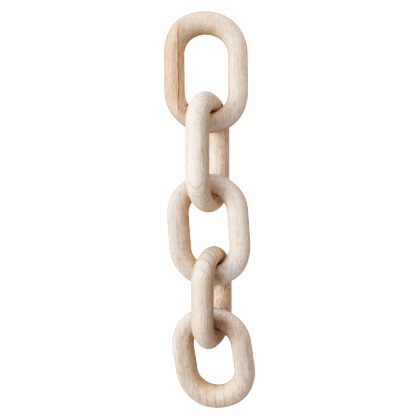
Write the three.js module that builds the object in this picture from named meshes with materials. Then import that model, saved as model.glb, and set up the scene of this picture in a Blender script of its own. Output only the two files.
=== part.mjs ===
// A short chain of hand-carved wooden links, lying loose and straight on a flat surface.
// Millimetres, +Z up. The chain runs along Y with its first link at +Y.
// Every link lies on one long side, with the other side leaning on its neighbours.
// The origin is under the middle of the chain, on the surface it lies on.

import * as THREE from 'three';
import { ParametricGeometry } from 'three/addons/geometries/ParametricGeometry.js';

// How finely the round wood is faceted
const SECTION_SIDES = 20;
const ARC_STEPS = 18;
const SIDE_STEPS = 2;

// The finish of bare sanded wood
const WOOD_ROUGHNESS = 0.7;

// The links from the first one down, each as it was carved and as it lies.
// width and length are over the outside of the wood, straight is how far the two long sides
// run straight, and rod is the thickness of the wood at the middle of each side and end.
// restsOn is the side on the surface, lean is how far the other side is raised, and turn is
// how far the link is swung counter-clockwise, both in degrees.
const LINKS = [
  {
    name: 'first_link',
    colour: 0xe6d0bd,
    width: 84,
    length: 122.5,
    straight: 38,
    rod: { left: 20.5, right: 20, top: 22.5, bottom: 20.5 },
    restsOn: 'left',
    lean: 31,
    turn: 0.7,
    x: -2,
    y: 135.2,
  },
  {
    name: 'second_link',
    colour: 0xefe5d8,
    width: 81.5,
    length: 121,
    straight: 50,
    rod: { left: 22.5, right: 21, top: 19.5, bottom: 17 },
    restsOn: 'right',
    lean: 35,
    turn: 0,
    x: 0.5,
    y: 55,
  },
  {
    name: 'third_link',
    colour: 0xe8dccb,
    width: 81.5,
    length: 112,
    straight: 33,
    rod: { left: 21.5, right: 21.5, top: 20, bottom: 20 },
    restsOn: 'left',
    lean: 37.5,
    turn: 5,
    x: 0,
    y: -21.9,
  },
  {
    name: 'fourth_link',
    colour: 0xead9c2,
    width: 82.5,
    length: 100.5,
    straight: 35,
    rod: { left: 21, right: 19.5, top: 18, bottom: 16.5 },
    restsOn: 'right',
    lean: 37,
    turn: 0,
    x: 5,
    y: -89.2,
  },
  {
    name: 'fifth_link',
    colour: 0xe4d3c0,
    width: 80.5,
    length: 103.5,
    straight: 24,
    rod: { left: 22, right: 20.5, top: 21, bottom: 22 },
    restsOn: 'left',
    lean: 44.5,
    turn: 10,
    x: 3.5,
    y: -149.2,
  },
];

// The half sizes of the oval line through the middle of a link's wood, and where its own
// centre is once the outside of the link is centred on the link's origin.
function ovalOf(link) {
  const { left, right, top, bottom } = link.rod;
  const halfLength = (link.length - (top + bottom) / 2) / 2;
  return {
    halfWidth: (link.width - (left + right) / 2) / 2,
    halfStraight: link.straight / 2,
    arcHeight: halfLength - link.straight / 2,
    middleX: (left - right) / 4,
    middleY: (bottom - top) / 4,
  };
}

// The oval line, walked counter-clockwise from the top of the right side: over the top in half
// an ellipse, down the left side, then the same two stretches turned half round.
function ovalAt(oval, step) {
  const halfRing = ARC_STEPS + SIDE_STEPS;
  const secondHalf = step >= halfRing;
  const sign = secondHalf ? -1 : 1;
  const walked = secondHalf ? step - halfRing : step;
  const onArc = walked <= ARC_STEPS;
  const angle = onArc ? Math.PI * walked / ARC_STEPS : Math.PI;
  const dropped = onArc ? 0 : 2 * oval.halfStraight * (walked - ARC_STEPS) / SIDE_STEPS;
  const rise = oval.halfStraight + oval.arcHeight * Math.sin(angle) - dropped;
  const outward = new THREE.Vector2(
    oval.arcHeight * Math.cos(angle),
    oval.halfWidth * Math.sin(angle),
  );
  return {
    x: oval.middleX + sign * oval.halfWidth * Math.cos(angle),
    y: oval.middleY + sign * rise,
    outward: outward.normalize().multiplyScalar(sign),
    angle: secondHalf ? angle + Math.PI : angle,
  };
}

// The wood's thickness, which blends from that of the long sides to that of the ends
function thicknessAt(rod, angle) {
  const across = Math.cos(angle);
  const along = Math.sin(angle);
  const side = across > 0 ? rod.right : rod.left;
  const end = along > 0 ? rod.top : rod.bottom;
  return side * across ** 2 + end * along ** 2;
}

// A round rod bent into the oval. Its section is turned so that one facet faces straight
// down when the link leans, which gives the resting side a small flat.
function linkGeometry(link) {
  const oval = ovalOf(link);
  const ringSteps = 2 * (ARC_STEPS + SIDE_STEPS);
  const facet = 2 * Math.PI / SECTION_SIDES;
  const downward = THREE.MathUtils.degToRad(link.lean - 90);
  const surface = (u, v, point) => {
    const at = ovalAt(oval, (u % 1) * ringSteps);
    const radius = thicknessAt(link.rod, at.angle) / 2;
    const around = downward + facet * ((v % 1) * SECTION_SIDES + 0.5);
    const out = radius * Math.cos(around);
    point.set(at.x + out * at.outward.x, at.y + out * at.outward.y, radius * Math.sin(around));
  };
  return new ParametricGeometry(surface, ringSteps, SECTION_SIDES);
}

// How high a link's centre is when the flat of its resting side is on the surface
function restingHeight(link) {
  const oval = ovalOf(link);
  const onLeft = link.restsOn === 'left';
  const rod = onLeft ? link.rod.left : link.rod.right;
  const reach = onLeft ? oval.halfWidth - oval.middleX : oval.halfWidth + oval.middleX;
  const flatDepth = rod / 2 * Math.cos(Math.PI / SECTION_SIDES);
  return flatDepth + reach * Math.sin(THREE.MathUtils.degToRad(link.lean));
}

function makeLink(link) {
  const material = new THREE.MeshStandardMaterial({
    color: link.colour,
    roughness: WOOD_ROUGHNESS,
    metalness: 0,
  });
  const mesh = new THREE.Mesh(linkGeometry(link), material);
  const raised = THREE.MathUtils.degToRad(link.restsOn === 'left' ? -link.lean : link.lean);
  mesh.name = link.name;
  mesh.rotation.set(0, raised, THREE.MathUtils.degToRad(link.turn), 'ZYX');
  mesh.position.set(link.x, link.y, restingHeight(link));
  return mesh;
}

const chain = new THREE.Group();
for (const link of LINKS) {
  chain.add(makeLink(link));
}

// Bring the middle of the chain's length and width over the origin
const middle = new THREE.Box3().setFromObject(chain, true).getCenter(new THREE.Vector3());
chain.position.set(-middle.x, -middle.y, 0);

export default chain;
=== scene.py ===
# A short chain of hand-carved wooden links: the fine surfaces, the bare wood and the light.
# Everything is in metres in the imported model's frame. The chain lies along Y, with Z up.

import math

import bpy
import numpy as np
from mathutils import Matrix, Vector


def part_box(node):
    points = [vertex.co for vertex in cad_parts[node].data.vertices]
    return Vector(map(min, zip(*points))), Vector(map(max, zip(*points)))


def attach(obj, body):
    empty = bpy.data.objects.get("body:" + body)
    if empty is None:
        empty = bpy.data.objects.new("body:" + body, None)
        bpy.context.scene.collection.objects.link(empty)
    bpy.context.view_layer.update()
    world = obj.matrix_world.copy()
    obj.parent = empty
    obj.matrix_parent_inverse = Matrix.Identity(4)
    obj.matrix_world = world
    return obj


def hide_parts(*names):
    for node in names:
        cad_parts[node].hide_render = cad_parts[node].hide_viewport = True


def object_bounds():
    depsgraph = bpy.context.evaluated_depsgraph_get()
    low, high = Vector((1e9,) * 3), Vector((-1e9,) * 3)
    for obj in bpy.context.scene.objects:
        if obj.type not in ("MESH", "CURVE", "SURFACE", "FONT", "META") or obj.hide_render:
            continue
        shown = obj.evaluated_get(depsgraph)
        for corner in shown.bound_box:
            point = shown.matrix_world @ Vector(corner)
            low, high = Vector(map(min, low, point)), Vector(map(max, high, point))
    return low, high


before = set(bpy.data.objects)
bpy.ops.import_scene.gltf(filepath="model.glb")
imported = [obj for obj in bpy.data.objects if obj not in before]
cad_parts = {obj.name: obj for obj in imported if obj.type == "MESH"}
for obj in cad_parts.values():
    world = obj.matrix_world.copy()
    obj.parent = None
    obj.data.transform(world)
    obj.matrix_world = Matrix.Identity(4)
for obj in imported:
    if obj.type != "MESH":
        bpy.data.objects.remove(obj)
cad_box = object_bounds()

MM = 0.001

# The links as they were carved, in millimetres and degrees. width and length are over the
# outside of the wood, straight is how far the long sides run straight, and rod is the
# thickness of the wood at the middle of each side and end. rests_on is the side on the
# floor, lean is how far the other side is raised and turn is the swing seen from above.
# pith is where the tree's middle would be in the link's own x and z. The year rings are
# round it, ring millimetres apart, and one of them has the radius first_ring.
# autumn is how much the wood darkens towards the end of a year, and colour is the wood's
# own, as linear red, green and blue.
# figure is how strongly the rings, the fibres and the small brown specks show.
#
# Each streak is a dark mineral line along the grain. It is at x where y is 0, leans by slope,
# runs from one y to another and fades over the length fade at each end. dark is its strength,
# and heart is how far the darker wood at its right reaches, or 0 where there is none.
#
# A place on a link is an angle round the link, 0 at its right and 90 at its top, and the way
# the surface faces there, 0 outwards, 90 up and 180 inwards, each with its reach.
# carving has the places where the knife left more or less wood, and by how much.
# places has the tones and figures that are stronger or weaker somewhere, and by how much.
# Many tones are painted light and shade, laid by the way the surface faces: paler, cooler or
# rosier on lit rims, golden bounce light on inner faces, darker and greyer in the shade, and
# dark where links touch.
#
# The sizes, leans and turns are a fit of the links' outlines to the photograph's, rounded.
# The colours started as a fit of the photograph's tones, and so did some of the places. The
# other places and the carving were set one by one, by comparing renders with the photograph.
LINKS = [
    {
        "name": "first_link",
        "width": 84,
        "length": 122.5,
        "straight": 38,
        "rod": {"left": 20.5, "right": 20, "top": 22.5, "bottom": 20.5},
        "rests_on": "left",
        "lean": 31,
        "turn": 0.7,
        "pith": (70, -10),
        "ring": 8.4,
        "first_ring": 97.3,
        "autumn": 0.5,
        "colour": (0.790, 0.612, 0.456),
        "figure": {"rings": 0.0, "fibres": 0.9, "specks": 0.5},
        "streaks": [
            {"x": -27.8, "slope": 0.002, "from": -48, "to": 52, "fade": 12, "dark": 0.85, "heart": 9},
        ],
        "carving": [
            (-0.3, (90, 25), (0, 60)),
            (1.6, (135, 25), (0, 60)),
            (0.6, (45, 25), (0, 60)),
            (0.5, (315, 20), (0, 60)),
            (-1.2, (225, 20), (0, 60)),
            (-1.3, (270, 30), (0, 60)),
        ],
        "places": [
            # The left side
            ("heart", 0.75, (180, 65), (92, 28)),
            ("golden", 0.6, (180, 65), (106, 26)),
            # The painted warm of the light on the lit rim
            ("rose", 1.3, (180, 60), (40, 28)),
            ("sap", 0.5, (180, 60), (150, 18)),
            # Painted warm bounce light on the inner face
            ("golden", 0.6, (180, 60), (170, 16)),
            ("sap", 0.5, (166, 14), (130, 24)),
            # The right side
            ("sap", 0.8, (0, 65), (140, 26)),
            # Painted light on the outer rim
            ("sap", 1.5, (0, 75), (35, 34)),
            # The top
            ("heart", 0.3, (90, 45), (178, 20)),
            ("sap", 0.6, (85, 45), (95, 50)),
            ("silver", 0.6, (90, 48), (120, 34)),
            ("sap", 0.2, (90, 45), (104, 24)),
            ("silver", 0.5, (39, 18), (103, 30)),
            ("sap", 0.5, (39, 18), (103, 30)),
            # Painted warm bounce light on the inner face
            ("golden", 0.8, (90, 45), (174, 18)),
            ("heart", 0.3, (135, 14), (65, 40)),
            ("golden", 0.6, (153, 16), (55, 30)),
            ("heart", 0.2, (153, 16), (55, 30)),
            ("silver", 0.9, (138, 12), (102, 24)),
            ("sap", 0.4, (138, 12), (102, 24)),
            ("heart", 0.6, (72, 12), (144, 26)),
            ("specks", 0.7, (110, 50), (110, 60)),
            ("fibres", -0.5, (88, 42), (80, 90)),
            # The bottom
            ("sap", 0.6, (290, 35), (75, 35)),
            ("grey", 0.6, (228, 14), (90, 45)),
            ("golden", 0.3, (205, 12), (76, 22)),
            ("silver", 0.6, (231, 14), (23, 24)),
            # Darker wood laid as painted shade beside the second link
            ("heart", 0.5, (229, 9), (102, 36)),
            ("heart", 0.2, (216, 11), (118, 32)),
            ("silver", 0.9, (214, 12), (98, 26)),
            ("sap", 0.5, (214, 12), (98, 26)),
            ("heart", 0.4, (275, 25), (20, 22)),
            # Painted shade where the second link touches
            ("rubbed", 0.7, (270, 14), (172, 20)),
            ("rubbed", 0.6, (217, 4), (140, 20)),
            ("rubbed", 0.5, (225, 4), (110, 16)),
            ("golden", 0.3, (218, 14), (118, 38)),
            # Painted cool sheen on the bottom end
            ("silver", 1.2, (285, 40), (62, 26)),
            ("silver", 0.8, (328, 16), (63, 30)),
            ("sap", 0.6, (328, 16), (66, 34)),
            ("sap", 0.8, (339, 14), (150, 30)),
            ("heart", 1.0, (270, 45), (8, 20)),
            ("fibres", -0.5, (275, 35), (90, 60)),
        ],
    },
    {
        "name": "second_link",
        "width": 81.5,
        "length": 121,
        "straight": 50,
        "rod": {"left": 22.5, "right": 21, "top": 19.5, "bottom": 17},
        "rests_on": "right",
        "lean": 35,
        "turn": 0,
        "pith": (-12, -3),
        "ring": 3.6,
        "first_ring": 27.5,
        "autumn": 0.4,
        "colour": (0.863, 0.706, 0.545),
        "figure": {"rings": 0.15, "fibres": 0.8, "specks": 0.3},
        "streaks": [
            {"x": -37.6, "slope": 0, "from": -5, "to": 3, "fade": 3, "dark": 0.6, "heart": 0},
        ],
        "carving": [
            (-1.1, (275, 32), (0, 60)),
            (0.6, (115, 22), (-10, 60)),
            (1.0, (0, 60), (-112, 25)),
            (0.4, (0, 60), (68, 30)),
        ],
        "places": [
            # The left side
            ("sap", 1.0, (180, 75), (-12, 36)),
            ("silver", 0.5, (180, 65), (45, 24)),
            ("sap", 0.3, (180, 65), (45, 20)),
            ("heart", 0.65, (180, 75), (88, 24)),
            ("grey", 0.4, (180, 60), (66, 7)),
            ("rings", 0.3, (180, 75), (75, 25)),
            ("fibres", -0.4, (180, 75), (-20, 45)),
            # The right side
            ("sap", 1.1, (0, 60), (-150, 30)),
            ("rose", 0.8, (0, 60), (105, 26)),
            ("rose", 0.9, (0, 60), (-114, 34)),
            ("heart", 1.3, (0, 60), (-104, 20)),
            ("silver", 0.4, (0, 60), (130, 24)),
            ("sap", 0.2, (0, 60), (130, 24)),
            ("rings", -0.15, (0, 60), (160, 90)),
            ("fibres", 0.4, (0, 60), (160, 80)),
            ("specks", 0.6, (0, 50), (160, 60)),
            # The top
            ("golden", 0.9, (153, 14), (-36, 30)),
            ("rings", 0.25, (128, 26), (20, 70)),
            # Painted shade where the first link touches
            ("rubbed", 0.8, (88, 12), (162, 18)),
            # The bottom
            ("grey", 0.6, (205, 22), (10, 40)),
            ("sap", 0.6, (265, 40), (30, 35)),
            ("grey", 0.5, (270, 40), (-15, 20)),
            ("rings", 0.3, (205, 32), (20, 70)),
            # Painted light where the third link shades the end
            ("sap", 1.3, (278, 20), (130, 36)),
            ("sap", 1.1, (284, 14), (62, 32)),
        ],
    },
    {
        "name": "third_link",
        "width": 81.5,
        "length": 112,
        "straight": 33,
        "rod": {"left": 21.5, "right": 21.5, "top": 20, "bottom": 20},
        "rests_on": "left",
        "lean": 37.5,
        "turn": 5,
        "pith": (60, -30),
        "ring": 5.2,
        "first_ring": 95,
        "autumn": 0.5,
        "colour": (0.825, 0.673, 0.522),
        "figure": {"rings": 0.0, "fibres": 0.75, "specks": 0.4},
        "streaks": [
            {"x": -26.3, "slope": 0, "from": 27, "to": 43, "fade": 6, "dark": 0.7, "heart": 0},
            {"x": -30.4, "slope": 0, "from": -20, "to": 22, "fade": 12, "dark": 0.5, "heart": 0},
            {"x": -31, "slope": 0, "from": -39, "to": -20, "fade": 6, "dark": 0.7, "heart": 0},
        ],
        "carving": [
            (0.6, (180, 60), (0, 60)),
            (0.4, (235, 22), (0, 60)),
            (1.3, (310, 22), (0, 60)),
            (-0.5, (352, 22), (0, 60)),
        ],
        "places": [
            # The left side
            # Painted shade along the middle of the side
            ("grey", 1.0, (180, 60), (85, 32)),
            ("sap", 0.7, (180, 60), (28, 18)),
            # Painted warm bounce light on the inner face
            ("golden", 1.0, (180, 70), (148, 24)),
            ("heart", 0.25, (180, 60), (122, 18)),
            ("golden", 0.2, (180, 60), (50, 26)),
            # The right side
            ("sap", 1.0, (0, 60), (135, 24)),
            ("sap", 0.7, (0, 60), (60, 30)),
            # The top
            ("grey", 1.2, (90, 40), (150, 30)),
            ("sap", 0.4, (90, 40), (15, 22)),
            # Darker wood laid as painted shade beside the second link
            ("heart", 1.0, (133, 9), (118, 34)),
            ("silver", 0.7, (46, 15), (90, 28)),
            ("sap", 0.4, (46, 15), (90, 28)),
            # Painted shade where the second link touches
            ("rubbed", 0.85, (61, 10), (164, 16)),
            # The bottom
            ("grey", 0.4, (275, 40), (80, 60)),
            ("silver", 0.9, (275, 42), (110, 45)),
            ("sap", 0.6, (275, 42), (112, 40)),
            ("sap", 1.3, (300, 18), (70, 50)),
            ("sap", 0.7, (318, 16), (105, 45)),
            ("silver", 0.9, (316, 20), (90, 50)),
            ("heart", 1.2, (281, 8), (92, 40)),
            ("sap", 0.4, (318, 10), (128, 20)),
            ("grey", 0.6, (262, 12), (95, 60)),
            # Painted shade where the fourth link touches
            ("rubbed", 0.5, (257, 8), (115, 50)),
            ("rubbed", 0.7, (290, 9), (170, 12)),
            ("rubbed", 0.4, (305, 12), (168, 14)),
            ("rubbed", 0.35, (284, 5), (140, 14)),
        ],
    },
    {
        "name": "fourth_link",
        "width": 82.5,
        "length": 100.5,
        "straight": 35,
        "rod": {"left": 21, "right": 19.5, "top": 18, "bottom": 16.5},
        "rests_on": "right",
        "lean": 37,
        "turn": 0,
        "pith": (60, 22),
        "ring": 7.6,
        "first_ring": 92,
        "autumn": 2.2,
        "colour": (0.802, 0.640, 0.482),
        "figure": {"rings": 0.0, "fibres": 0.9, "specks": 0.3},
        "streaks": [
            {"x": 23, "slope": 0, "from": 1, "to": 10, "fade": 3, "dark": 1.2, "heart": 0},
        ],
        "carving": [
            (0.6, (95, 30), (0, 60)),
            (0.5, (240, 20), (0, 60)),
            (0.9, (0, 60), (-112, 25)),
            (0.6, (300, 18), (0, 60)),
        ],
        "places": [
            # The left side
            ("sap", 0.6, (180, 60), (-12, 34)),
            ("heart", 1.2, (180, 75), (86, 26)),
            ("heart", 0.2, (180, 20), (22, 30)),
            ("golden", 0.3, (180, 50), (50, 14)),
            ("silver", 0.3, (180, 60), (45, 22)),
            ("fibres", -0.2, (180, 70), (20, 80)),
            # The right side
            ("sap", 1.0, (0, 60), (-150, 24)),
            ("heart", 0.5, (0, 60), (142, 26)),
            ("sap", 0.7, (0, 60), (104, 16)),
            ("rose", 0.6, (0, 60), (106, 26)),
            ("rose", 0.6, (0, 60), (-128, 30)),
            ("silver", 0.5, (0, 60), (104, 16)),
            ("fibres", 1.2, (0, 60), (165, 80)),
            ("specks", 1.0, (0, 40), (165, 60)),
            # The top
            ("sap", 0.5, (100, 30), (90, 34)),
            ("sap", 0.4, (95, 40), (35, 36)),
            ("heart", 0.7, (90, 40), (-50, 24)),
            ("sap", 1.0, (156, 16), (14, 38)),
            ("sap", 0.8, (69, 12), (64, 30)),
            ("golden", 0.7, (69, 12), (64, 30)),
            ("silver", 0.8, (156, 16), (18, 32)),
            ("golden", 0.5, (138, 12), (-37, 20)),
            ("rings", 0.34, (126, 50), (32, 80)),
            # Painted shade where the third link touches
            ("rubbed", 0.5, (78, 11), (148, 16)),
            # The bottom
            ("silver", 0.9, (270, 42), (22, 44)),
            ("sap", 1.0, (270, 40), (45, 30)),
            ("heart", 0.35, (270, 45), (88, 24)),
            ("heart", 0.4, (246, 10), (46, 20)),
            ("sap", 0.8, (206, 16), (24, 32)),
            ("silver", 1.0, (206, 16), (24, 32)),
            ("sap", 1.6, (270, 40), (5, 36)),
            ("rings", 0.12, (250, 34), (30, 80)),
            ("golden", 0.8, (285, 30), (90, 40)),
            # Painted shade where the fifth link touches
            ("rubbed", 0.5, (279, 8), (151, 16)),
        ],
    },
    {
        "name": "fifth_link",
        "width": 80.5,
        "length": 103.5,
        "straight": 24,
        "rod": {"left": 22, "right": 20.5, "top": 21, "bottom": 22},
        "rests_on": "left",
        "lean": 44.5,
        "turn": 10,
        "pith": (80, 0),
        "ring": 8.6,
        "first_ring": 81.7,
        "autumn": 0.5,
        "colour": (0.814, 0.654, 0.500),
        "figure": {"rings": 0.0, "fibres": 0.95, "specks": 0.5},
        "streaks": [],
        "carving": [
            (-1.0, (78, 24), (0, 60)),
            (0.6, (135, 22), (0, 60)),
            (0.7, (235, 24), (0, 60)),
            (0.8, (312, 22), (0, 60)),
            (0.5, (255, 20), (180, 40)),
        ],
        "places": [
            # The left side
            ("sap", 0.8, (180, 55), (45, 20)),
            # Painted shade along the middle of the side
            ("grey", 1.0, (180, 60), (86, 22)),
            ("grey", 0.3, (180, 60), (130, 18)),
            ("fibres", 0.2, (180, 60), (90, 80)),
            ("golden", 0.3, (180, 60), (72, 16)),
            # Painted warm bounce light on the inner face
            ("golden", 1.1, (180, 75), (150, 22)),
            ("heart", 0.4, (180, 60), (160, 18)),
            # The right side
            ("sap", 0.6, (0, 60), (10, 20)),
            ("silver", 0.5, (0, 60), (100, 30)),
            ("sap", 0.2, (0, 60), (95, 30)),
            ("grey", 0.5, (0, 60), (80, 26)),
            ("sap", 0.3, (0, 60), (138, 22)),
            # The top
            ("sap", 1.6, (90, 50), (18, 26)),
            ("silver", 0.7, (90, 50), (12, 30)),
            ("sap", 0.3, (90, 50), (12, 30)),
            ("sap", 0.5, (100, 40), (108, 20)),
            ("silver", 0.5, (95, 40), (108, 20)),
            # Painted warm bounce light on the inner face
            ("golden", 0.8, (75, 30), (142, 16)),
            ("heart", 1.4, (80, 50), (86, 30)),
            ("grey", 1.3, (90, 45), (140, 26)),
            ("sap", 0.9, (84, 12), (40, 22)),
            ("sap", 0.9, (74, 13), (50, 26)),
            ("silver", 0.8, (74, 14), (50, 24)),
            ("golden", 0.5, (138, 16), (57, 30)),
            ("silver", 1.2, (134, 12), (92, 22)),
            ("sap", 0.4, (134, 12), (90, 22)),
            ("heart", 0.8, (131, 12), (127, 22)),
            ("heart", 0.3, (138, 16), (57, 30)),
            ("heart", 0.8, (72, 10), (116, 26)),
            ("heart", 0.6, (54, 9), (72, 18)),
            ("heart", 0.8, (85, 40), (142, 18)),
            # Painted shade where the fourth link touches
            ("rubbed", 0.95, (63, 10), (144, 15)),
            # The bottom
            ("silver", 0.5, (221, 14), (131, 20)),
            ("heart", 0.4, (270, 45), (85, 20)),
            ("sap", 0.3, (270, 50), (125, 30)),
            ("rings", 0.85, (260, 36), (95, 75)),
            ("fibres", -0.2, (272, 34), (95, 75)),
            # Painted warm bounce light on the inner face
            ("golden", 1.4, (240, 26), (176, 20)),
            ("specks", 3.0, (272, 10), (148, 22)),
        ],
    },
]

# What each tone does to the colour round it, in order: darker wood, also laid as painted shade
# beside the links it touches; pale wood, also laid as painted light on rims and where the next
# link shades; wood that is more yellow, also laid as painted warm bounce light on inner faces;
# wood that is more red, also laid as the painted warm of the light on lit rims; greyer wood, also
# laid as painted shade; cooler wood, also laid as a painted cool sheen; and painted shade, dark,
# where two links touch
WOOD_AND_LIGHT_TONES = {
    # Darker wood, also laid as painted shade
    "heart": (0.83, 0.76, 0.70),
    # Pale wood, also laid as painted light
    "sap": (1.15, 1.18, 1.20),
    # Yellower wood, also laid as painted warm bounce light on inner faces
    "golden": (1.04, 0.99, 0.88),
    # Redder wood, also laid as the painted warm of the light on lit rims
    "rose": (1.02, 0.94, 0.92),
    # Greyer wood, also laid as painted shade
    "grey": (0.86, 0.86, 0.87),
    # Cooler wood, also laid as a painted cool sheen
    "silver": (0.91, 0.96, 1.03),
    # Painted shade, dark, where two links touch
    "rubbed": (0.34, 0.25, 0.19),
}
FIGURES = ("rings", "fibres", "specks")

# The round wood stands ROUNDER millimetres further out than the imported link, apart from
# where two links touch. The knife leaves it uneven by up to UNEVEN millimetres, in waves:
# so many round the link and so many round its wood.
ROUNDER = 0.15
TOUCHING = ((90, 35), (180, 45)), ((270, 35), (180, 45))
UNEVEN = 0.15
UNEVEN_WAVES = ((3, 1), (5, 2), (8, 3))

# The noises in the wood: the size of their lumps along each axis in millimetres, how many
# finer noises are laid over each, and a number that sets it apart from the others.
# drift and ripple move the year rings and breaks interrupts them, blush to fibre vary the
# colour, hair and dots are dark marks, and wander bends the streaks that worn interrupts.
NOISES = {
    "drift": ((30, 70, 30), 1, 0),
    "ripple": ((5, 18, 5), 2, 5),
    "breaks": ((5, 9, 5), 1, 47),
    "blush": ((16, 34, 16), 1, 29),
    "mottle": ((3.5, 8, 3.5), 2, 23),
    "band": ((2.2, 80, 2.2), 1, 61),
    "speckle": ((1.4, 2.6, 1.4), 1, 41),
    "fibre": ((1.2, 14, 1.2), 1, 11),
    "hair": ((0.9, 6, 0.9), 0, 17),
    "dots": ((0.9, 1.3, 0.9), 0, 53),
    "wander": ((9, 9, 9), 2, 67),
    "worn": ((9, 7, 9), 1, 59),
}
NOISE_ROUGHNESS = 0.55
SEED_STEP = 37

# Noises that show as a step: where in the noise it starts and ends, and its height at both
STEPS = {
    "hair": (0.6, 0.8, 0.0, 1.0),
    "dots": (0.68, 0.82, 0.0, 1.0),
    "breaks": (0.3, 0.6, 0.5, 1.0),
    "worn": (0.3, 0.6, 0.4, 1.0),
}

# How far noises move the red, green and blue of the wood, and how strong they are: a share
# of the strength of the fibres there, and what they have everywhere
SWAYS = {
    "blush": ((0.06, 0.12, 0.20), 0.0, 1.0),
    "mottle": ((0.10, 0.17, 0.26), 0.0, 1.0),
    "band": ((0.18, 0.28, 0.42), 0.7, 0.2),
    "speckle": ((0.26, 0.40, 0.58), 0.5, 0.4),
    "fibre": ((0.35, 0.52, 0.72), 1.0, 0.0),
}

# What the marks in the wood do to its colour: the hairs, the small brown specks, the year
# rings, the dark streaks, the darker wood at a streak's right and the pale line at its left
TINTS = {
    "hair": (0.90, 0.80, 0.70),
    "specks": (0.80, 0.62, 0.48),
    "rings": (0.76, 0.66, 0.54),
    "streak": (0.62, 0.48, 0.38),
    "heart": (0.90, 0.84, 0.78),
    "pale": (1.06, 1.08, 1.10),
}

# The year rings: how many millimetres the noises move them, how far the dark line at the end
# of a year reaches on both sides, and the shares of a year in which the wood darkens before
# it and grows pale after it
RING_WAVES = {"drift": 5.0, "ripple": 1.0}
RING_LINE = 0.55
AUTUMN = 0.35
SPRING = 0.1

# The streaks, in millimetres: how far they wander, how soft their left edge is, where their
# right edge fades, and how far away the pale line at their left is and how far it reaches
STREAK_WANDER = 2.2
STREAK_EDGE = 0.4
STREAK_FADES = (0.2, 1.2)
PALE_DISTANCE = 1.3
PALE_WIDTH = 0.8

# The sanded surface. Its roughness is a step in the fibres, higher where they are pale.
ROUGHNESS_STEP = (0.3, 0.7, 0.62, 0.76)
BUMP_STRENGTH = 0.3
BUMP_HEIGHT = 0.1 * MM
WOOD_IOR = 1.4

# How finely the fine surface is divided
ARC_STEPS = 110
SIDE_STEPS = 40
AROUND_STEPS = 96

# The camera looks down on the chain from the side that the first, third and fifth links rest
# on. It is rolled so that the chain stands upright in the picture, where a millimetre at the
# target is a pixel. Its tilt and distance come from the fit of the outlines.
CAMERA_TILT = math.radians(33.2)
CAMERA_DISTANCE = 472 * MM
CAMERA_TARGET = Vector((-0.8, 2.0, 28)) * MM
FRAME_WIDTH = 416 * MM
SENSOR_WIDTH = 36

# The soft lights: azimuth in degrees counter-clockwise from +X, elevation in degrees,
# power in watts and colour. Directions and powers were set after fits of single lights to the
# photograph's light and shade. The colours and AMBIENT are the results of such a fit, rounded.
LIGHT_DISTANCE = 1.2
LIGHT_SIZE = 0.55
LIGHTS = {
    "key": (180, 3, 6.0, (1.11, 1.14, 1.29)),
    "key_side": (150, 17, 2.0, (1.10, 1.30, 1.80)),
    "head_low": (90, 17, 2.0, (0.86, 1.11, 1.51)),
    "head_high": (90, 55, 0.95, (0.98, 0.96, 0.94)),
    "overhead": (180, 83, 1.1, (0.91, 0.85, 1.03)),
    "right_low": (300, 10, 1.55, (0.99, 1.16, 1.59)),
}
AMBIENT = (0.284, 0.294, 0.305)

# How the picture answers to light. FILM_RANGE is the light that is nearly white, and the
# curve is set at the shares of it in FILM_LIGHTS. FILM_CONTRAST is one of several that were
# tried in the fits of the lights.
FILM_RANGE = 3
FILM_CONTRAST = 1.25
FILM_LIGHTS = (0.03, 0.07, 0.12, 0.18, 0.25, 0.33, 0.42, 0.52, 0.64, 0.8)

# The studio floor is flat round the chain and sweeps up into a wall. Its paper has a light
# of its own, so that it is as pale as the photograph's behind the chain.
FLOOR_MIDDLE = 0.05
FLOOR_RADIUS = 2
WALL_RADIUS = 3
WALL_HEIGHT = 3
STUDIO_SIDES = 96
SWEEP_STEPS = 12
PAPER = 0.8
PAPER_GLOW = 0.9


def oval(link):
    """Points, outward directions and turning angle along the middle of a link's wood."""
    rod = link["rod"]
    half_width = (link["width"] - (rod["left"] + rod["right"]) / 2) / 2
    half_length = (link["length"] - (rod["top"] + rod["bottom"]) / 2) / 2
    half_straight = link["straight"] / 2
    arc_height = half_length - half_straight

    # The arc over the top and the left side, which make the other half when turned round
    arc = np.arange(ARC_STEPS) / ARC_STEPS * math.pi
    side = np.arange(SIDE_STEPS) / SIDE_STEPS
    angle = np.concatenate([arc, np.full(SIDE_STEPS, math.pi)])
    drop = np.concatenate([np.zeros(ARC_STEPS), side * link["straight"]])
    x = half_width * np.cos(angle)
    y = half_straight + arc_height * np.sin(angle) - drop
    out = np.stack([arc_height * np.cos(angle), half_width * np.sin(angle)], 1)
    out /= np.linalg.norm(out, axis=1)[:, None]
    half = np.stack([x, y], 1)

    # Uneven wood moves the middle of the wood away from the middle of the outline
    middle = np.array([(rod["left"] - rod["right"]) / 4, (rod["bottom"] - rod["top"]) / 4])
    points = np.concatenate([half, -half]) + middle
    outward = np.concatenate([out, -out])
    return points, outward, np.concatenate([angle, angle + math.pi])


def thickness(rod, angle):
    """The wood's thickness, which blends from that of the long sides to that of the ends."""
    across, along = np.cos(angle), np.sin(angle)
    side = np.where(across > 0, rod["right"], rod["left"])
    end = np.where(along > 0, rod["top"], rod["bottom"])
    return side * across**2 + end * along**2


def closeness(angle, place):
    """Near 1 for angles close to a place, given with its reach in degrees."""
    centre, reach = place
    away = (np.degrees(angle) - centre + 180) % 360 - 180
    return np.exp(-((away / reach) ** 2))


def facings():
    """The way the surface faces at each step round the wood."""
    return np.arange(AROUND_STEPS) / AROUND_STEPS * 2 * math.pi


def share_of(link, around, facing):
    """How much each point of a link's grid belongs to a place."""
    return closeness(oval(link)[2], around)[:, None] * closeness(facings(), facing)


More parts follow.
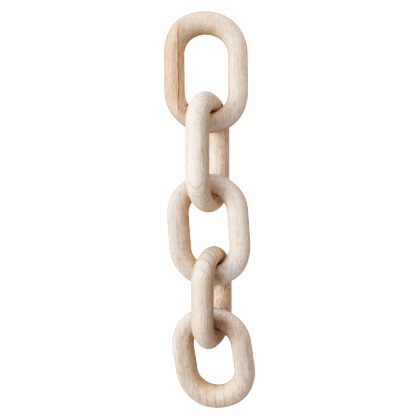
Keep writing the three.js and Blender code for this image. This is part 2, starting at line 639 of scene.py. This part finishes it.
def unevenness(link):
    """How far the wood stands above or below the plain rod, in millimetres."""
    angle = oval(link)[2][:, None]
    height = np.full((len(angle), AROUND_STEPS), ROUNDER)
    for around, facing in TOUCHING:
        height -= ROUNDER * share_of(link, around, facing)
    for turns, (along, across) in enumerate(UNEVEN_WAVES):
        # Each wave starts in a place of its own, which is different on each link
        start = LINKS.index(link) + 2 * turns
        wave = np.sin(along * angle + start) * np.cos(across * facings() + 2 * start)
        height += UNEVEN / len(UNEVEN_WAVES) * wave
    for extra, around, facing in link["carving"]:
        height += extra * share_of(link, around, facing)
    return height


def link_grid(link, carved=True):
    """The link's surface in its own frame in millimetres, as rings of points."""
    points, outward, angle = oval(link)
    radius = (thickness(link["rod"], angle) / 2)[:, None]
    if carved:
        radius = radius + unevenness(link)
    out = radius * np.cos(facings())
    up = radius * np.sin(facings())
    flat = points[:, None, :] + out[:, :, None] * outward[:, None, :]
    return np.concatenate([flat, up[:, :, None]], 2)


def grid_faces(rings, around):
    """The faces between the rings of points, closed both ways, by the numbers of their points."""
    ring, step = np.meshgrid(np.arange(rings), np.arange(around), indexing="ij")
    next_ring = (ring + 1) % rings
    next_step = (step + 1) % around
    corners = [(ring, step), (next_ring, step), (next_ring, next_step), (ring, next_step)]
    return np.stack([i * around + j for i, j in corners], -1).reshape(-1, 4)


def placement(link):
    """The link's place in the frame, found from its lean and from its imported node."""
    grid = link_grid(link, carved=False)
    sign = -1 if link["rests_on"] == "left" else 1
    turned = Matrix.Rotation(math.radians(link["turn"]), 3, "Z")
    leaned = turned @ Matrix.Rotation(sign * math.radians(link["lean"]), 3, "Y")
    world = grid.reshape(-1, 3) @ np.array(leaned).T * MM
    low, high = (np.array(corner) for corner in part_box(link["name"]))
    shift = (low + high) / 2 - (world.min(0) + world.max(0)) / 2
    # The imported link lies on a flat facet, so its height is found from its top
    shift[2] = high[2] - world[:, 2].max()
    return Matrix.Translation(shift) @ leaned.to_4x4()


def tones(link):
    """The colour of the wood at each point of the link's grid, with the painted light and shade of
    its places.
    """
    colour = np.ones((len(oval(link)[2]), AROUND_STEPS, 3)) * link["colour"]
    for name, amount, around, facing in link["places"]:
        if name in WOOD_AND_LIGHT_TONES:
            change = amount * (np.array(WOOD_AND_LIGHT_TONES[name]) - 1)
            colour *= 1 + share_of(link, around, facing)[:, :, None] * change
    return colour


def figure(link):
    """The strength of the rings, fibres and specks at each point of the link's grid."""
    start = [link["figure"][name] for name in FIGURES]
    strength = np.ones((len(oval(link)[2]), AROUND_STEPS, len(FIGURES))) * start
    for name, amount, around, facing in link["places"]:
        if name in FIGURES:
            strength[:, :, FIGURES.index(name)] += amount * share_of(link, around, facing)
    return strength


def make_link(link):
    """A link as it was carved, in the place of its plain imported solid."""
    grid = link_grid(link)
    place = placement(link)
    local = grid.reshape(-1, 3)
    world = local * MM @ np.array(place.to_3x3()).T + np.array(place.translation)
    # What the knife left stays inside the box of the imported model
    world = np.clip(world, *cad_box)
    mesh = bpy.data.meshes.new(link["name"] + "_wood")
    mesh.from_pydata(world.tolist(), [], grid_faces(*grid.shape[:2]).tolist())
    mesh.shade_smooth()
    for name, values in {"grain": local, "tone": tones(link), "figure": figure(link)}.items():
        attribute = mesh.attributes.new(name, "FLOAT_VECTOR", "POINT")
        attribute.data.foreach_set("vector", values.astype(np.float32).ravel())
    mesh.materials.append(carved_wood(link))
    piece = bpy.data.objects.new(link["name"] + "_carved", mesh)
    bpy.context.scene.collection.objects.link(piece)
    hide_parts(link["name"])
    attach(piece, "root")


class Formula:
    """Adds shader nodes and joins them, so that a material reads as a formula."""

    def __init__(self, name):
        self.material = bpy.data.materials.new(name)
        self.material.use_nodes = True
        self.tree = self.material.node_tree

    def give(self, node, inputs):
        """Sets a node's inputs, or joins them to what other nodes give."""
        for key, value in inputs.items():
            if isinstance(value, bpy.types.NodeSocket):
                self.tree.links.new(value, node.inputs[key])
            else:
                node.inputs[key].default_value = value

    def finished(self, inputs):
        """The material, once its surface has been given its inputs."""
        self.give(self.tree.nodes["Principled BSDF"], inputs)
        return self.material

    def node(self, kind, inputs, output=0, **settings):
        """Adds a node, and returns one of its outputs."""
        node = self.tree.nodes.new(kind)
        for name, value in settings.items():
            setattr(node, name, value)
        self.give(node, inputs)
        return node.outputs[output]

    def math(self, operation, first, second=0.0, third=0.0):
        inputs = {0: first, 1: second, 2: third}
        return self.node("ShaderNodeMath", inputs, operation=operation)

    def vector(self, operation, first, second, third=(0.0, 0.0, 0.0)):
        inputs = {0: first, 1: second, 2: third}
        return self.node("ShaderNodeVectorMath", inputs, operation=operation)

    def attribute(self, name):
        """What a mesh says at each point."""
        return self.node("ShaderNodeAttribute", {}, output="Vector", attribute_name=name)

    def split(self, vector):
        """The three parts of a vector."""
        return self.node("ShaderNodeSeparateXYZ", {0: vector}).node.outputs

    def noise(self, at, size, detail, seed):
        """Noise between 0 and 1 whose lumps are size millimetres along each axis."""
        scale = tuple(1 / side for side in size)
        place = self.vector("MULTIPLY_ADD", at, scale, (seed, seed, seed))
        inputs = {"Vector": place, "Scale": 1.0, "Detail": detail, "Roughness": NOISE_ROUGHNESS}
        return self.node("ShaderNodeTexNoise", inputs)

    def ramp(self, value, low, high, start=0.0, end=1.0):
        """Turns low to high into start to end, smoothly and no further."""
        inputs = {"Value": value, 1: low, 2: high, 3: start, 4: end}
        return self.node("ShaderNodeMapRange", inputs, interpolation_type="SMOOTHSTEP")

    def line(self, distance, width):
        """1 where a distance is 0, and 0 further away than the width."""
        return self.ramp(self.math("ABSOLUTE", distance), 0.0, width, 1.0, 0.0)

    def swing(self, noise):
        """A noise as a movement both ways, from -0.5 to 0.5."""
        return self.math("SUBTRACT", noise, 0.5)

    def vary(self, colour, factor, change):
        """Changes a colour by a share of itself for each of red, green and blue."""
        share = self.vector("MULTIPLY_ADD", factor, change, (1, 1, 1))
        return self.vector("MULTIPLY", colour, share)

    def tint(self, colour, factor, name):
        """Multiplies a colour by one of the tints where the factor is 1."""
        return self.vary(colour, factor, tuple(share - 1 for share in TINTS[name]))


def noises(f, link, at):
    """The noises of this link's own piece of the tree."""
    made = {}
    for name, (size, detail, own) in NOISES.items():
        made[name] = f.noise(at, size, detail, LINKS.index(link) * SEED_STEP + own)
    for name, step in STEPS.items():
        made[name] = f.ramp(made[name], *step)
    return made


def late_wood(f, link, noise, x, z):
    """How much of the dark wood of a year's end there is, from the depth in the tree."""
    across = f.math("SUBTRACT", x, link["pith"][0])
    beside = f.math("SUBTRACT", z, link["pith"][1])
    squares = f.math("MULTIPLY_ADD", across, across, f.math("MULTIPLY", beside, beside))
    depth = f.math("SQRT", squares)
    for name, amount in RING_WAVES.items():
        depth = f.math("MULTIPLY_ADD", f.swing(noise[name]), amount, depth)
    year = f.math("DIVIDE", f.math("SUBTRACT", depth, link["first_ring"]), link["ring"])
    season = f.math("SUBTRACT", f.math("FRACT", f.math("ADD", year, 0.5)), 0.5)
    line = f.line(season, RING_LINE / link["ring"])
    darkens = f.ramp(season, -AUTUMN, 0.0)
    pales = f.ramp(season, 0.0, SPRING, 1.0, 0.0)
    late = f.math("MULTIPLY_ADD", f.math("MULTIPLY", darkens, pales), link["autumn"], line)
    return f.math("MULTIPLY", late, noise["breaks"])


def streaked(f, link, noise, x, y, colour):
    """The colour of the wood with the link's dark streaks."""
    wander = f.math("MULTIPLY", f.swing(noise["wander"]), STREAK_WANDER)
    for streak in link["streaks"]:
        off = f.math("SUBTRACT", x, f.math("MULTIPLY_ADD", y, streak["slope"], streak["x"]))
        off = f.math("ADD", off, wander)
        below = f.ramp(y, streak["from"], streak["from"] + streak["fade"])
        above = f.ramp(y, streak["to"] - streak["fade"], streak["to"], 1.0, 0.0)
        ends = f.math("MULTIPLY", below, above)
        begins = f.math("MULTIPLY", f.ramp(off, -STREAK_EDGE, 0.0), ends)
        if streak["heart"]:
            heart = f.math("MULTIPLY", begins, f.ramp(off, 0.0, streak["heart"], 1.0, 0.0))
            pale = f.math("MULTIPLY", f.line(f.math("ADD", off, PALE_DISTANCE), PALE_WIDTH), ends)
            colour = f.tint(colour, heart, "heart")
            colour = f.tint(colour, pale, "pale")
        fades = f.ramp(off, *STREAK_FADES, 1.0, 0.0)
        dark = f.math("MULTIPLY", f.math("MULTIPLY", begins, noise["worn"]), fades)
        colour = f.tint(colour, f.math("MULTIPLY", dark, streak["dark"]), "streak")
    return colour


def carved_wood(link):
    """Bare pale wood with the painted light and shade of its tones, and the rings, fibres and pores
    of this link's own piece of the tree.
    """
    f = Formula(link["name"] + "_wood")
    at = f.attribute("grain")
    x, y, z = f.split(at)
    rings, fibres, specks = f.split(f.attribute("figure"))
    noise = noises(f, link, at)
    late = late_wood(f, link, noise, x, z)

    colour = f.attribute("tone")
    for name, (change, share, always) in SWAYS.items():
        strength = f.math("MULTIPLY_ADD", fibres, share, always)
        swing = f.math("MULTIPLY", f.swing(noise[name]), strength)
        colour = f.vary(colour, swing, change)
    colour = f.tint(colour, f.math("MULTIPLY", noise["hair"], fibres), "hair")
    colour = f.tint(colour, f.math("MULTIPLY", noise["dots"], specks), "specks")
    colour = f.tint(colour, f.math("MULTIPLY", late, rings), "rings")
    colour = streaked(f, link, noise, x, y, colour)

    rough = f.ramp(noise["fibre"], *ROUGHNESS_STEP)
    raised = f.math("ADD", noise["fibre"], noise["speckle"])
    height = f.math("SUBTRACT", raised, noise["hair"])
    inputs = {"Height": height, "Strength": BUMP_STRENGTH, "Distance": BUMP_HEIGHT}
    bump = f.node("ShaderNodeBump", inputs)
    surface = {"Base Color": colour, "Roughness": rough, "Normal": bump, "IOR": WOOD_IOR}
    return f.finished(surface)


def pale_paper():
    """Matt pale paper with a light of its own."""
    surface = {
        "Base Color": (PAPER, PAPER, PAPER, 1),
        "Roughness": 1,
        "Emission Color": (1, 1, 1, 1),
        "Emission Strength": PAPER_GLOW,
    }
    return Formula("pale_paper").finished(surface)


def make_studio():
    """A pale floor that sweeps up into a wall all round, as one bowl."""
    sweep = WALL_RADIUS - FLOOR_RADIUS
    turn = np.arange(SWEEP_STEPS + 1) / SWEEP_STEPS * math.pi / 2
    radii = [FLOOR_MIDDLE, *(FLOOR_RADIUS + sweep * np.sin(turn)), WALL_RADIUS]
    heights = [0, *(sweep * (1 - np.cos(turn))), WALL_HEIGHT]
    around = np.arange(STUDIO_SIDES) / STUDIO_SIDES * 2 * math.pi
    points = [
        (radius * math.cos(angle), radius * math.sin(angle), height)
        for radius, height in zip(radii, heights)
        for angle in around
    ]
    faces = [tuple(range(STUDIO_SIDES))]
    for ring in range(len(radii) - 1):
        for side in range(STUDIO_SIDES):
            after = (side + 1) % STUDIO_SIDES
            low, high = ring * STUDIO_SIDES, (ring + 1) * STUDIO_SIDES
            faces.append((low + side, high + side, high + after, low + after))
    mesh = bpy.data.meshes.new("studio")
    mesh.from_pydata(points, [], faces)
    mesh.shade_smooth()
    mesh.materials.append(pale_paper())
    studio = bpy.data.objects.new("studio", mesh)
    bpy.context.scene.collection.objects.link(studio)
    studio.visible_diffuse = False
    studio.visible_glossy = False
    studio.visible_shadow = False


def make_camera():
    """A camera at the photograph's viewing angle."""
    data = bpy.data.cameras.new("camera")
    data.sensor_width = SENSOR_WIDTH
    data.lens = SENSOR_WIDTH * CAMERA_DISTANCE / FRAME_WIDTH
    camera = bpy.data.objects.new("camera", data)
    right = Vector((math.cos(CAMERA_TILT), 0, math.sin(CAMERA_TILT)))
    up = Vector((0, 1, 0))
    back = right.cross(up)
    turn = Matrix((right, up, back)).transposed().to_4x4()
    camera.matrix_world = Matrix.Translation(CAMERA_TARGET + back * CAMERA_DISTANCE) @ turn
    bpy.context.scene.collection.objects.link(camera)
    bpy.context.scene.camera = camera


def make_light(name, azimuth, elevation, power, colour):
    """A square soft light, facing the chain."""
    data = bpy.data.lights.new(name, "AREA")
    data.size = LIGHT_SIZE
    data.energy = power
    data.color = colour
    light = bpy.data.objects.new(name, data)
    across, height = math.radians(azimuth), math.radians(elevation)
    level = math.cos(height)
    towards = Vector((level * math.cos(across), level * math.sin(across), math.sin(height)))
    light.location = CAMERA_TARGET + towards * LIGHT_DISTANCE
    light.rotation_mode = "QUATERNION"
    light.rotation_quaternion = towards.to_track_quat("Z", "Y")
    light.visible_camera = False
    bpy.context.scene.collection.objects.link(light)


def make_ambient():
    """A dim light from all round, which is nearly white."""
    world = bpy.data.worlds.new("room")
    world.use_nodes = True
    background = world.node_tree.nodes["Background"]
    background.inputs["Color"].default_value = (*AMBIENT, 1)
    bpy.context.scene.world = world


def linear(shown):
    """The light of a brightness on a standard screen, by the sRGB formula."""
    return shown / 12.92 if shown < 0.04045 else ((shown + 0.055) / 1.055) ** 2.4


def film_response(light):
    """The screen's light for a share of the film's range."""
    return linear(1 - math.exp(-((light * FILM_RANGE) ** FILM_CONTRAST)))


def load_film():
    """The photograph's contrast, harder than the plain view's and with a soft shoulder."""
    view = bpy.context.scene.view_settings
    view.view_transform = "Standard"
    view.use_curve_mapping = True
    film = view.curve_mapping
    # The last curve, after those of red, green and blue, is for all three
    brightness = film.curves[3]
    brightness.points[0].location = (0, 0)
    brightness.points[1].location = (1, 1)
    for light in FILM_LIGHTS:
        brightness.points.new(light, film_response(light))
    film.update()


make_camera()
for link in LINKS:
    make_link(link)
make_studio()
for name, values in LIGHTS.items():
    make_light(name, *values)
make_ambient()
load_film()
